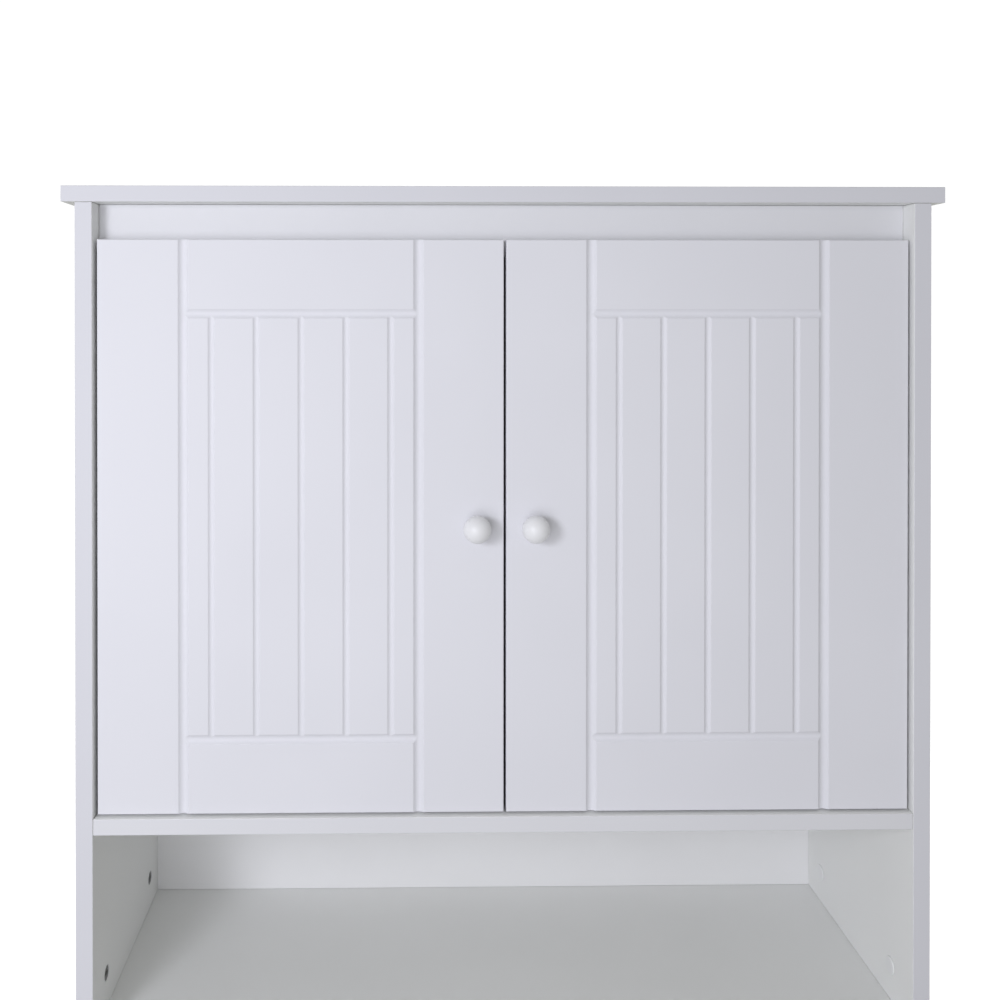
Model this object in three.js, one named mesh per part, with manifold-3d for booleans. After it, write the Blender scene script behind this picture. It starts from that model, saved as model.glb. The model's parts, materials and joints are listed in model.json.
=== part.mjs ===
// Cabinet with two inset beadboard doors above an open niche, after a painted
// bathroom or dispensary cupboard. Millimetres, +Z up, front towards -Y.
// The origin is the centre of the bottom board's underside.
import * as THREE from 'three';
import { mergeVertices } from 'three/addons/utils/BufferGeometryUtils.js';
import Module from 'manifold-3d';

const wasm = await Module();
wasm.setup();

// ---- Driving dimensions ----

// Clearances
const seam = 0.3;             // between pieces that touch
const runningGap = 0.3;       // round a pin or a disc in its hole

// Carcass
const sideSpan = 800;         // across the outer faces of the two sides
const totalHeight = 809;
const carcassDepth = 263;     // front edges to the back of the back panel
const overhang = 13;          // top and bottom boards, past each side
const sideThickness = 16;
const boardThickness = 15;    // top, bottom and fixed shelf
const backThickness = 3;
const backMargin = 2;         // back panel's ends, in from the sides' outer faces
const nicheHeight = 190;      // clear height below the fixed shelf

// Rails between the sides, under the top board
const railThickness = 15;
const topRailHeight = 50;
const rearRailHeight = 80;
const wallHoleRadius = 3;
const wallHoleOffset = 300;   // either side of the middle

// Doors
const doorThickness = 15;
const doorRecess = 5.5;       // door faces behind the sides' front edges
const doorSideGap = 3;
const doorMiddleGap = 2.4;
const doorBottomGap = 2;
const doorLap = 15.5;         // door height that closes against the top rail
const stopGap = 2.5;          // between the doors' backs and the rail

// Routed pattern on each door
const stileWidth = 80;        // door edge to the middle of the long groove
const crossWidth = 69.5;      // door end to the middle of the cross groove
const beadCount = 5;          // grooves between the long grooves
const beadPitch = 41.9;
const stileGroove = { width: 10, depth: 2.6 };
const crossGroove = { width: 9, depth: 2.4 };
const beadGroove = { width: 6.4, depth: 2 };

// Knobs
const knobInset = 26;         // axis to the door's inner edge
const knobBallRadius = 12.8;
const knobNeckRadius = 6;
const knobFootRadius = 8;
const knobStem = 5.9;         // door face to where the ball starts
const knobScrewRadius = 1.9;
const knobScrewReach = 14;    // screw length inside the knob
const screwHeadRadius = 4;
const screwHeadHeight = 2.2;

// Adjustable shelf and its pins
const shelfHeight = 490;      // underside above the ground
const shelfThickness = 15;
const shelfEndGap = 1.2;
const shelfSetback = 25;      // behind the doors' backs
const shelfBackGap = 4;
const pinRadius = 2.5;
const pinBuried = 9;          // pin length inside the side
const pinReach = 8;           // pin length under the shelf
const pinFromShelfEdge = 35;  // along the depth
const pinSteps = [-64, 0, 64]; // spare holes, from the chosen height

// Connector cams
const camRadius = 7.5;
const camHeight = 12;
const camFromJoint = 34;      // cam's middle to the board it pulls on
const camFrontInset = 46;     // cam's middle to the front edges
const camBackInset = 222;
const camSlotWidth = 1.6;
const camSlotLength = 9.5;
const camSlotDepth = 2.2;
const capRadius = 8.5;
const capThickness = 1.2;

// Concealed hinges: places in the door's plan, x in from its outer edge, y back
// from its rear face. The door swings about the plan point (5, -10).
const hingeFromEnd = 80;      // hinge's middle to the door's top or bottom
const cupRadius = 17.5;
const cupDepth = 11.2;
const cupWall = 1;
const cupInset = 22.5;        // cup's middle from the door's outer edge
const wing = { width: 20, reach: 9.5, thickness: 1 }; // reach is past the cup's rim
const linkPivot = { x: 16, y: 3 };
const linkTip = { x: 34, y: -6.5 };
const linkBow = 6;            // how far the gooseneck bends away from the door
const linkHalfThickness = 1.3;
const cheekThickness = 1.4;
const armHalfWidth = 6;
const armThickness = 3.4;
const barrelRadius = 3;
const hingePinRadius = 1.4;
const plateThickness = 2;
const plateHalfWidth = 8;
const plateWing = { start: 35, end: 51, halfWidth: 24 };
const plateStart = 23;        // plate's ends, behind the door
const plateEnd = 69;
const armStandoff = 5;        // block that carries the arm off the plate
const wingHoleRadius = 2.2;
const plateHoleRadius = 2.6;
const plateHoleInset = 6;

// Door bumpers
const bumperRadius = 4;
const bumperInset = 45;       // from each upright edge of a door

// ---- Worked-out places ----

const frontY = -carcassDepth / 2;
const backY = carcassDepth / 2;
const sideBackY = backY - backThickness - seam;
const outerX = sideSpan / 2;
const innerX = outerX - sideThickness;
const topUnder = totalHeight - boardThickness;
const nicheFloor = boardThickness;
const fixedShelfUnder = nicheFloor + nicheHeight;
const fixedShelfTop = fixedShelfUnder + boardThickness;

const doorFaceY = frontY + doorRecess;
const doorBackY = doorFaceY + doorThickness;
const railFrontY = doorBackY + stopGap;
const railUnder = topUnder - topRailHeight;
const doorOuterX = innerX - doorSideGap;
const doorUnder = fixedShelfTop + doorBottomGap;
const doorTop = railUnder + doorLap;
const hingeLevels = { lower: doorUnder + hingeFromEnd, upper: doorTop - hingeFromEnd };
const knobLevel = (doorUnder + doorTop) / 2;
const knobX = doorMiddleGap / 2 + knobInset;

const shelfFrontY = doorBackY + shelfSetback;
const shelfBackY = backY - backThickness - shelfBackGap;
const pinLevel = shelfHeight - seam - pinRadius;
const pinYs = { front: shelfFrontY + pinFromShelfEdge, rear: shelfBackY - pinFromShelfEdge };

const camYs = { front: frontY + camFrontInset, rear: frontY + camBackInset };
const bottomCamLevel = nicheFloor + camFromJoint;
const topCamLevel = topUnder - camFromJoint;
const shelfCamX = innerX - camFromJoint;

const sides = { left: -1, right: 1 };

// ---- Materials ----

function finish(color, roughness, metalness = 0) {
  return new THREE.MeshStandardMaterial({ color, roughness, metalness });
}

const boardPaint = finish(0xe9e9ee, 0.45);
const doorPaint = finish(0xe6e6ef, 0.4);
const backPaint = finish(0xe4e4e6, 0.55);
const knobLacquer = finish(0xf2f2f4, 0.25);
const nickel = finish(0xb8b6b0, 0.3, 1);
const zinc = finish(0x8d8f92, 0.45, 1);
const whitePlastic = finish(0xefeff0, 0.5);
const clearRubber = finish(0xd8d9da, 0.7);

// ---- Shapes ----

const cabinet = new THREE.Group();

function addPiece(name, geometry, material) {
  const mesh = new THREE.Mesh(geometry, material);
  mesh.name = name;
  cabinet.add(mesh);
}

function block([x0, x1], [y0, y1], [z0, z1]) {
  const geometry = new THREE.BoxGeometry(x1 - x0, y1 - y0, z1 - z0);
  return geometry.translate((x0 + x1) / 2, (y0 + y1) / 2, (z0 + z1) / 2);
}

// An upright prism on a plan outline of [x, y] points.
function prism(outline, z0, z1) {
  const shape = new THREE.Shape(outline.map(([x, y]) => new THREE.Vector2(x, y)));
  const geometry = new THREE.ExtrudeGeometry(shape, { depth: z1 - z0, bevelEnabled: false });
  return geometry.translate(0, 0, z0);
}

// A round bar along X, Y or Z from one end to the other.
function bar(axis, radius, start, end, at, segments = 20) {
  const geometry = new THREE.CylinderGeometry(radius, radius, end - start, segments);
  const middle = (start + end) / 2;
  if (axis === 'x') return geometry.rotateZ(-Math.PI / 2).translate(middle, at[0], at[1]);
  if (axis === 'y') return geometry.translate(at[0], middle, at[1]);
  return geometry.rotateX(Math.PI / 2).translate(at[0], at[1], middle);
}

function toSolid(geometry) {
  const bare = geometry.clone();
  bare.deleteAttribute('normal');
  bare.deleteAttribute('uv');
  const merged = mergeVertices(bare, 1e-4);
  return new wasm.Manifold(new wasm.Mesh({
    numProp: 3,
    vertProperties: new Float32Array(merged.attributes.position.array),
    triVerts: new Uint32Array(merged.index.array),
  }));
}

function toGeometry(solid) {
  const mesh = solid.getMesh();
  const geometry = new THREE.BufferGeometry();
  geometry.setAttribute('position', new THREE.BufferAttribute(mesh.vertProperties, 3));
  geometry.setIndex(new THREE.BufferAttribute(mesh.triVerts, 1));
  geometry.computeVertexNormals();
  return geometry;
}

function joined(geometries) {
  return geometries.map(toSolid).reduce((all, next) => all.add(next));
}

function cut(solid, geometries) {
  return geometries.map(toSolid).reduce((rest, tool) => rest.subtract(tool), solid);
}

// ---- Carcass ----

const endBoardSpan = [-(outerX + overhang), outerX + overhang];
addPiece('bottom_board', block(endBoardSpan, [frontY, backY], [0, boardThickness]), boardPaint);
addPiece('top_board', block(endBoardSpan, [frontY, backY], [topUnder, totalHeight]), boardPaint);

function sidePanel(hand) {
  const xs = [hand * innerX, hand * outerX].sort((a, b) => a - b);
  const panel = toSolid(block(xs, [frontY, sideBackY], [nicheFloor + seam, topUnder - seam]));
  const bores = [];
  for (const y of Object.values(camYs)) {
    for (const z of [bottomCamLevel, topCamLevel]) {
      bores.push(sideBore(hand, camRadius + runningGap, camHeight + 2 * seam, y, z, 24));
    }
  }
  for (const y of Object.values(pinYs)) {
    for (const step of pinSteps) {
      bores.push(sideBore(hand, pinRadius + runningGap, pinBuried + seam, y, pinLevel + step, 12));
    }
  }
  return toGeometry(cut(panel, bores));
}

// A blind hole into a side's inner face; it starts in free space inside the cabinet.
function sideBore(hand, radius, depth, y, z, segments) {
  const mouth = hand * (innerX - 1);
  const floor = hand * (innerX + depth);
  return bar('x', radius, Math.min(mouth, floor), Math.max(mouth, floor), [y, z], segments);
}

for (const [name, hand] of Object.entries(sides)) {
  addPiece(`${name}_side_panel`, sidePanel(hand), boardPaint);
}

function fixedShelf() {
  const span = [-(innerX - seam), innerX - seam];
  const board = toSolid(block(span, [frontY, sideBackY], [fixedShelfUnder, fixedShelfTop]));
  const bores = [];
  for (const hand of Object.values(sides)) {
    for (const y of Object.values(camYs)) {
      const top = fixedShelfUnder + camHeight + 2 * seam;
      bores.push(bar('z', camRadius + runningGap, fixedShelfUnder - 1, top, [hand * shelfCamX, y], 24));
    }
  }
  return toGeometry(cut(board, bores));
}
addPiece('fixed_shelf', fixedShelf(), boardPaint);

const railSpan = [-(innerX - seam), innerX - seam];
const topRailYs = [railFrontY, railFrontY + railThickness];
addPiece('top_rail', block(railSpan, topRailYs, [railUnder, topUnder - seam]), boardPaint);

function withWallHoles(board) {
  const holes = [-1, 1].map((hand) => bar('y', wallHoleRadius, sideBackY - railThickness - 1, backY + 1,
    [hand * wallHoleOffset, topUnder - rearRailHeight / 2], 12));
  return toGeometry(cut(toSolid(board), holes));
}
addPiece('rear_rail', withWallHoles(block(railSpan, [sideBackY - railThickness, sideBackY],
  [topUnder - rearRailHeight, topUnder - seam])), boardPaint);
addPiece('back_panel', withWallHoles(block([-(outerX - backMargin), outerX - backMargin],
  [backY - backThickness, backY], [nicheFloor + seam, topUnder - seam])), backPaint);

// ---- Connector cams and caps ----

// A disc along Z with a crossed slot in its upper face, its middle at the origin.
function camDisc() {
  const top = camHeight / 2;
  const slots = [[camSlotLength, camSlotWidth], [camSlotWidth, camSlotLength]].map(([x, y]) => (
    block([-x / 2, x / 2], [-y / 2, y / 2], [top - camSlotDepth, top + 1])));
  return toGeometry(cut(toSolid(bar('z', camRadius, -top, top, [0, 0], 24)), slots));
}

for (const [name, hand] of Object.entries(sides)) {
  for (const [end, y] of Object.entries(camYs)) {
    for (const [level, z] of Object.entries({ bottom: bottomCamLevel, top: topCamLevel })) {
      const disc = camDisc().rotateY(-hand * Math.PI / 2);
      disc.translate(hand * (innerX + seam + camHeight / 2), y, z);
      addPiece(`${name}_${level}_${end}_cam`, disc, zinc);
    }
    const shelfDisc = camDisc().rotateX(Math.PI);
    shelfDisc.translate(hand * shelfCamX, y, fixedShelfUnder + seam + camHeight / 2);
    addPiece(`${name}_shelf_${end}_cam`, shelfDisc, zinc);
  }
}
for (const [end, y] of Object.entries(camYs)) {
  const outer = innerX - seam;
  const cap = bar('x', capRadius, outer - capThickness, outer, [y, bottomCamLevel], 28);
  addPiece(`${end}_cam_cap`, cap, whitePlastic);
}

// ---- Adjustable shelf and pins ----

const shelfSpan = [-(innerX - shelfEndGap), innerX - shelfEndGap];
addPiece('adjustable_shelf', block(shelfSpan, [shelfFrontY, shelfBackY],
  [shelfHeight, shelfHeight + shelfThickness]), boardPaint);
for (const [name, hand] of Object.entries(sides)) {
  for (const [end, y] of Object.entries(pinYs)) {
    const ends = [hand * (innerX - pinReach), hand * (innerX + pinBuried)].sort((a, b) => a - b);
    addPiece(`${name}_${end}_shelf_pin`, bar('x', pinRadius, ends[0], ends[1], [y, pinLevel], 12), nickel);
  }
}

// ---- Doors ----

// A groove's section about its middle line: sloping walls and a narrow floor.
function grooveSection({ width, depth }) {
  const half = width / 2;
  const flat = width / 5;
  return [[-half, -1], [-half, 0], [-flat, depth], [flat, depth], [half, 0], [half, -1]];
}

function uprightGroove(groove, x, z0, z1) {
  return prism(grooveSection(groove).map(([u, v]) => [x + u, doorFaceY + v]), z0, z1);
}

function crossingGroove(groove, z, x0, x1) {
  const lying = prism(grooveSection(groove), x0, x1).rotateY(Math.PI / 2);
  return lying.translate(0, doorFaceY, z);
}

function doorPanel(hand) {
  const xs = [hand * (doorMiddleGap / 2), hand * doorOuterX].sort((a, b) => a - b);
  const middle = (xs[0] + xs[1]) / 2;
  const grooveXs = [xs[0] + stileWidth, xs[1] - stileWidth];
  const grooveZs = [doorUnder + crossWidth, doorTop - crossWidth];
  const tools = grooveXs.map((x) => uprightGroove(stileGroove, x, doorUnder - 1, doorTop + 1));
  tools.push(...grooveZs.map((z) => crossingGroove(crossGroove, z, ...grooveXs)));
  for (let bead = 0; bead < beadCount; bead += 1) {
    const x = middle + (bead - (beadCount - 1) / 2) * beadPitch;
    tools.push(uprightGroove(beadGroove, x, ...grooveZs));
  }
  for (const z of Object.values(hingeLevels)) {
    tools.push(bar('y', cupRadius + runningGap, doorBackY - cupDepth - seam, doorBackY + 1,
      [hand * (doorOuterX - cupInset), z], 36));
  }
  const screwRadius = knobScrewRadius + runningGap;
  tools.push(bar('y', screwRadius, doorFaceY - 1, doorBackY + 1, [hand * knobX, knobLevel], 12));
  return toGeometry(cut(toSolid(block(xs, [doorFaceY, doorBackY], [doorUnder, doorTop])), tools));
}

// A lathe profile turned about Y, with its foot at the door's face and its tip at -Y.
function knob(hand) {
  const foot = seam;
  const ballMiddle = knobStem + Math.sqrt(knobBallRadius ** 2 - knobNeckRadius ** 2);
  const neckAngle = Math.asin(knobNeckRadius / knobBallRadius);
  const boreRadius = knobScrewRadius + runningGap;
  const boreDepth = knobScrewReach + seam;
  const profile = [[0, boreDepth], [boreRadius, boreDepth], [boreRadius, foot], [knobFootRadius, foot],
    [knobFootRadius, foot + 1.5], [knobNeckRadius, foot + 3]];
  const steps = 14;
  for (let step = 0; step <= steps; step += 1) {
    const angle = Math.PI - neckAngle - (Math.PI - neckAngle) * step / steps;
    const radius = step === steps ? 0 : knobBallRadius * Math.sin(angle);
    profile.push([radius, ballMiddle + knobBallRadius * Math.cos(angle)]);
  }
  const points = profile.map(([radius, height]) => new THREE.Vector2(radius, height));
  const turned = new THREE.LatheGeometry(points, 24).rotateX(Math.PI);
  return turned.translate(hand * knobX, doorFaceY, knobLevel);
}

function knobScrew(hand) {
  const at = [hand * knobX, knobLevel];
  const headStart = doorBackY + seam;
  const shank = bar('y', knobScrewRadius, doorFaceY - knobScrewReach, headStart + 1, at, 12);
  const head = bar('y', screwHeadRadius, headStart, headStart + screwHeadHeight, at, 20);
  const slot = block([at[0] - screwHeadRadius, at[0] + screwHeadRadius],
    [headStart + screwHeadHeight - 1, headStart + screwHeadHeight + 1], [at[1] - 0.5, at[1] + 0.5]);
  return toGeometry(cut(joined([shank, head]), [slot]));
}

for (const [name, hand] of Object.entries(sides)) {
  addPiece(`${name}_door`, doorPanel(hand), doorPaint);
  addPiece(`${name}_knob`, knob(hand), knobLacquer);
  addPiece(`${name}_knob_screw`, knobScrew(hand), nickel);
}

// ---- Hinges ----

// From the door's plan to the cabinet's: x runs in from the door's outer edge.
function plan(hand, x, y) {
  return [hand * (doorOuterX - x), doorBackY + y];
}

function planBlock(hand, [x0, x1], [y0, y1], zs) {
  const xs = [hand * (doorOuterX - x0), hand * (doorOuterX - x1)].sort((a, b) => a - b);
  return block(xs, [doorBackY + y0, doorBackY + y1], zs);
}

// A closed outline round a centreline in the door's plan, at a half thickness to each side.
function ribbon(hand, centreline, half) {
  const left = [];
  const right = [];
  centreline.forEach(([x, y], index) => {
    const before = centreline[Math.max(index - 1, 0)];
    const after = centreline[Math.min(index + 1, centreline.length - 1)];
    const run = Math.hypot(after[0] - before[0], after[1] - before[1]);
    const across = [-(after[1] - before[1]) / run, (after[0] - before[0]) / run];
    left.push(plan(hand, x + across[0] * half, y + across[1] * half));
    right.unshift(plan(hand, x - across[0] * half, y - across[1] * half));
  });
  return [...left, ...right];
}

function hingeCup(hand, z) {
  const at = [plan(hand, cupInset, 0)[0], z];
  const wingBack = seam + wing.thickness;
  const halfLength = cupRadius + wing.reach;
  const floor = doorBackY - cupDepth;
  const pot = bar('y', cupRadius, floor, doorBackY + wingBack, at, 36);
  const flange = planBlock(hand, [cupInset - wing.width / 2, cupInset + wing.width / 2],
    [seam, wingBack], [z - halfLength, z + halfLength]);
  const hollow = bar('y', cupRadius - cupWall, floor + cupWall, doorBackY + wingBack + 1, at, 36);
  const armGap = planBlock(hand, [0, cupInset - wing.width / 2 - 2],
    [-0.4, wingBack + 1], [z - cupRadius, z + cupRadius]);
  const screws = [-1, 1].map((way) => bar('y', wingHoleRadius, doorBackY - 1, doorBackY + wingBack + 1,
    [at[0], z + way * (halfLength - wing.reach / 2)], 12));
  return toGeometry(cut(joined([pot, flange]), [hollow, armGap, ...screws]));
}

function hingePlate(hand, z) {
  const face = -doorSideGap + seam;
  const spine = planBlock(hand, [face, face + plateThickness], [plateStart, plateEnd],
    [z - plateHalfWidth, z + plateHalfWidth]);
  const ears = planBlock(hand, [face, face + plateThickness], [plateWing.start, plateWing.end],
    [z - plateWing.halfWidth, z + plateWing.halfWidth]);
  const riser = planBlock(hand, [face, face + plateThickness + armStandoff], [plateStart + 4, plateEnd - 4],
    [z - armHalfWidth, z + armHalfWidth]);
  const holeY = doorBackY + (plateWing.start + plateWing.end) / 2;
  const screws = [-1, 1].map((way) => bar('x', plateHoleRadius, -outerX, outerX,
    [holeY, z + way * (plateWing.halfWidth - plateHoleInset)], 12));
  return toGeometry(cut(joined([spine, ears, riser]), screws));
}

function hingeArm(hand, z) {
  const rearX = -doorSideGap + 2 * seam + plateThickness + armStandoff + armThickness / 2;
  const centreline = [[rearX, plateEnd + 2], [rearX, plateStart + 2], [rearX + 0.6, plateStart - 3],
    [linkPivot.x - 1, linkPivot.y + 10], [linkPivot.x, linkPivot.y + 6], [linkPivot.x, linkPivot.y]];
  const body = prism(ribbon(hand, centreline, armThickness / 2), z - armHalfWidth, z + armHalfWidth);
  const at = plan(hand, linkPivot.x, linkPivot.y);
  const barrel = bar('z', barrelRadius, z - armHalfWidth, z + armHalfWidth, at, 20);
  const pinHalf = armHalfWidth + seam + cheekThickness + 1;
  const pin = bar('z', hingePinRadius, z - pinHalf, z + pinHalf, at, 16);
  return toGeometry(joined([body, barrel, pin]));
}

function hingeLink(hand, z) {
  const run = [linkTip.x - linkPivot.x, linkTip.y - linkPivot.y];
  const length = Math.hypot(...run);
  const across = [-run[1] / length, run[0] / length];
  const centreline = [];
  const steps = 8;
  for (let step = 0; step <= steps; step += 1) {
    const along = step / steps;
    const bow = 4 * linkBow * along * (1 - along);
    centreline.push([linkPivot.x + run[0] * along + across[0] * bow,
      linkPivot.y + run[1] * along + across[1] * bow]);
  }
  const at = plan(hand, linkPivot.x, linkPivot.y);
  const tip = plan(hand, linkTip.x, linkTip.y);
  const inner = armHalfWidth + seam;
  const outer = inner + cheekThickness;
  const outline = ribbon(hand, centreline, linkHalfThickness);
  const webOutline = ribbon(hand, centreline.slice(-4), linkHalfThickness);
  const parts = [prism(webOutline, z - outer, z + outer)];
  parts.push(bar('z', linkHalfThickness, z - outer, z + outer, tip, 16));
  for (const [z0, z1] of [[z - outer, z - inner], [z + inner, z + outer]]) {
    parts.push(prism(outline, z0, z1), bar('z', barrelRadius, z0, z1, at, 20));
  }
  const eye = bar('z', hingePinRadius + runningGap, z - outer - 1, z + outer + 1, at, 16);
  return toGeometry(cut(joined(parts), [eye]));
}

for (const [name, hand] of Object.entries(sides)) {
  for (const [level, z] of Object.entries(hingeLevels)) {
    addPiece(`${name}_${level}_hinge_plate`, hingePlate(hand, z), nickel);
    addPiece(`${name}_${level}_hinge_arm`, hingeArm(hand, z), nickel);
    addPiece(`${name}_${level}_hinge_link`, hingeLink(hand, z), nickel);
    addPiece(`${name}_${level}_hinge_cup`, hingeCup(hand, z), nickel);
  }
}

// ---- Bumpers on the top rail ----

const bumperXs = { inner: doorMiddleGap / 2 + bumperInset, outer: doorOuterX - bumperInset };
for (const [name, hand] of Object.entries(sides)) {
  for (const [place, x] of Object.entries(bumperXs)) {
    addPiece(`${name}_${place}_bumper`, bar('y', bumperRadius, doorBackY + seam, railFrontY - seam,
      [hand * x, railUnder + doorLap / 2], 20), clearRubber);
  }
}

export default cabinet;
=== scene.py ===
# The two-door cabinet's looks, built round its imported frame: softly rounded boards, doors with a
# routed beadboard pattern, turned knobs, and the cams and cup hinges inside.
# Metres, +Z up, front towards -Y.
import json
import math

import bmesh
import bpy
import numpy as np
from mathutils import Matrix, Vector


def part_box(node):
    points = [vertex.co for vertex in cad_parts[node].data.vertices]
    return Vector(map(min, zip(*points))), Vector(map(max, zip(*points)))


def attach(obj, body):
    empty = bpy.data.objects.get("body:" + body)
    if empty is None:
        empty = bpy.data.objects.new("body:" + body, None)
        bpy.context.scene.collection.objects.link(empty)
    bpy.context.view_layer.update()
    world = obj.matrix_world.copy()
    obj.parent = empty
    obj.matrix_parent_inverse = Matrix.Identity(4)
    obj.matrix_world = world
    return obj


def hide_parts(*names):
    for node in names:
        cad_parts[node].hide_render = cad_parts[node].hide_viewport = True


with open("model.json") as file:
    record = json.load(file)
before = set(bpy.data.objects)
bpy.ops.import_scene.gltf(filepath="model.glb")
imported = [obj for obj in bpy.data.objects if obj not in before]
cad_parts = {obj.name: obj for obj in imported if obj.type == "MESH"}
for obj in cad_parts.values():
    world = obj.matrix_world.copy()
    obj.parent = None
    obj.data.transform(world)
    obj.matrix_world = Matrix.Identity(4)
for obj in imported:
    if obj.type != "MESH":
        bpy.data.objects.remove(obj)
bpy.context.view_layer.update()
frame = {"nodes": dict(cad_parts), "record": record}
mm = 0.001


# Shader maths: a Wire is one output socket, and an expression on Wires adds its Math nodes.
class Wire:
    def __init__(self, tree, socket=None):
        self.tree = tree
        self.socket = socket

    # Any node: its settings first, then the values or links of its sockets.
    def node(self, kind, settings=None, inputs=None, output=0):
        made = self.tree.nodes.new(kind)
        for name, value in (settings or {}).items():
            setattr(made, name, value)
        for name, value in (inputs or {}).items():
            if isinstance(value, Wire):
                self.tree.links.new(value.socket, made.inputs[name])
            else:
                made.inputs[name].default_value = value
        return Wire(self.tree, made.outputs[output] if made.outputs else None)

    def maths(self, operation, first, second=0.0):
        return self.node("ShaderNodeMath", {"operation": operation}, {0: first, 1: second})

    def __add__(self, other):
        return self.maths("ADD", self, other)

    def __radd__(self, other):
        return self.maths("ADD", other, self)

    def __sub__(self, other):
        return self.maths("SUBTRACT", self, other)

    def __rsub__(self, other):
        return self.maths("SUBTRACT", other, self)

    def __mul__(self, other):
        return self.maths("MULTIPLY", self, other)

    def __rmul__(self, other):
        return self.maths("MULTIPLY", other, self)

    def sine(self):
        return self.maths("SINE", self)

    def step(self, low, high):
        inputs = {"Value": self, "From Min": low, "From Max": high}
        return self.node("ShaderNodeMapRange", {"interpolation_type": "SMOOTHSTEP"}, inputs)

    def blend(self, first, second):
        inputs = {0: self, 6: first, 7: second}
        return self.node("ShaderNodeMix", {"data_type": "RGBA"}, inputs, 2)

    def noise(self, scale, detail=2.0, rough=0.5):
        inputs = {"Vector": self, "Scale": scale, "Detail": detail, "Roughness": rough}
        return self.node("ShaderNodeTexNoise", None, inputs)

    def split(self, axis):
        return self.node("ShaderNodeSeparateXYZ", None, {0: self}, "XYZ".index(axis))

    def stretch(self, x, y, z):
        return self.node("ShaderNodeMapping", None, {"Vector": self, "Scale": (x, y, z)})

    def bump(self, distance, strength=1.0):
        inputs = {"Height": self, "Distance": distance, "Strength": strength}
        return self.node("ShaderNodeBump", None, inputs)


# A material with one Principled shader; paint(place) gives its sockets from Object coordinates.
def makeMaterial(name, paint):
    material = bpy.data.materials.new(name)
    material.use_nodes = True
    tree = material.node_tree
    tree.nodes.clear()
    start = Wire(tree)
    place = start.node("ShaderNodeTexCoord", output="Object")
    shader = start.node("ShaderNodeBsdfPrincipled", None, paint(place))
    start.node("ShaderNodeOutputMaterial", None, {"Surface": shader})
    return material


foilLook = {
    "boardLight": (0.88, 0.885, 0.87, 1), "boardDark": (0.86, 0.865, 0.85, 1),
    "bandLight": (0.715, 0.715, 0.75, 1), "bandDark": (0.70, 0.70, 0.735, 1),
    "doorLight": (0.79, 0.79, 0.825, 1), "doorDark": (0.77, 0.77, 0.805, 1),
    "boardRoughness": 0.5, "doorRoughness": 0.54, "gloss": 0.18,
}


# Satin foil: faint clouding, a fine pebble under the gloss, and a roughness that drifts with it.
# The faces marked "banded", a board's front edges, take the edge band's tone.
def foil(kind, roughness, pebble):
    def paint(place):
        cloud = place.noise(5.0, 3.0)
        tone = cloud.step(0.3, 0.7)
        colour = tone.blend(foilLook[kind + "Dark"], foilLook[kind + "Light"])
        if kind == "board":
            band = place.node("ShaderNodeAttribute", {"attribute_name": "banded"}, output=2)
            colour = band.blend(colour, tone.blend(foilLook["bandDark"], foilLook["bandLight"]))
        fine = place.noise(900.0, 2.0)
        orange = place.noise(260.0, 2.0)
        grain = fine * 0.35 + orange * 0.65
        return {
            "Base Color": colour,
            "Roughness": roughness + (cloud - 0.5) * 0.10 + (fine - 0.5) * 0.06,
            "Normal": grain.bump(pebble * mm, 0.6),
            "Specular IOR Level": foilLook["gloss"],
        }
    return paint


hardboardLook = {
    "paintLight": (0.87, 0.87, 0.87, 1), "paintDark": (0.85, 0.85, 0.85, 1),
    "bareLight": (0.50, 0.35, 0.22, 1), "bareDark": (0.33, 0.21, 0.125, 1),
    "weave": 2400.0,
}


# Hardboard: white paint on the inside, and behind it the bare board with the press's screen mark.
def hardboard(place):
    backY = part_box("back_panel")[1].y
    rear = place.split("Y").step(backY - 0.6 * mm, backY - 0.3 * mm)
    pitch = hardboardLook["weave"]
    weave = (place.split("X") * pitch).sine() * (place.split("Z") * pitch).sine()
    fibre = place.stretch(1.0, 1.0, 0.35).noise(420.0, 4.0, 0.65)
    blotch = place.noise(7.0, 3.0)
    mottle = (fibre * 0.85 + blotch * 0.15).step(0.3, 0.7)
    bare = mottle.blend(hardboardLook["bareDark"], hardboardLook["bareLight"])
    painted = blotch.step(0.3, 0.7).blend(hardboardLook["paintDark"], hardboardLook["paintLight"])
    return {
        "Base Color": rear.blend(painted, bare),
        "Roughness": 0.5 + rear * 0.3 + (fibre - 0.5) * 0.1,
        "Normal": (rear * weave * 0.5 + fibre * 0.5).bump(0.08 * mm, 0.5),
    }


lacquerLook = {"light": (0.85, 0.85, 0.855, 1), "dark": (0.82, 0.82, 0.825, 1)}


# Thick sprayed lacquer on a turned wooden ball.
def lacquer(place):
    cloud = place.noise(60.0, 2.0)
    return {
        "Base Color": cloud.step(0.3, 0.7).blend(lacquerLook["dark"], lacquerLook["light"]),
        "Roughness": 0.42 + (place.noise(300.0) - 0.5) * 0.12,
        "Normal": place.noise(220.0, 2.0).bump(0.05 * mm, 0.5),
        "Coat Weight": 0.1,
        "Coat Roughness": 0.3,
    }


nickelLook = {"light": (0.70, 0.69, 0.67, 1), "dark": (0.66, 0.65, 0.625, 1)}


# Nickel plate: bright, with rolling marks along the part and a slight dulling in patches.
def nickelPlate(place):
    rolled = place.stretch(1.0, 0.05, 1.0).noise(2600.0, 3.0, 0.6)
    patch = place.noise(160.0, 3.0)
    return {
        "Base Color": patch.step(0.2, 0.8).blend(nickelLook["dark"], nickelLook["light"]),
        "Metallic": 1.0,
        "Roughness": 0.20 + rolled * 0.12 + (patch - 0.5) * 0.05,
        "Normal": rolled.bump(0.02 * mm, 0.5),
    }


# The last colour here is the painted highlight on the cam's rim, not a real rubbed finish.
zincLook = {"light": (0.27, 0.27, 0.265, 1), "dark": (0.13, 0.13, 0.125, 1), "rimHighlight": (0.72, 0.72, 0.71, 1)}
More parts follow.
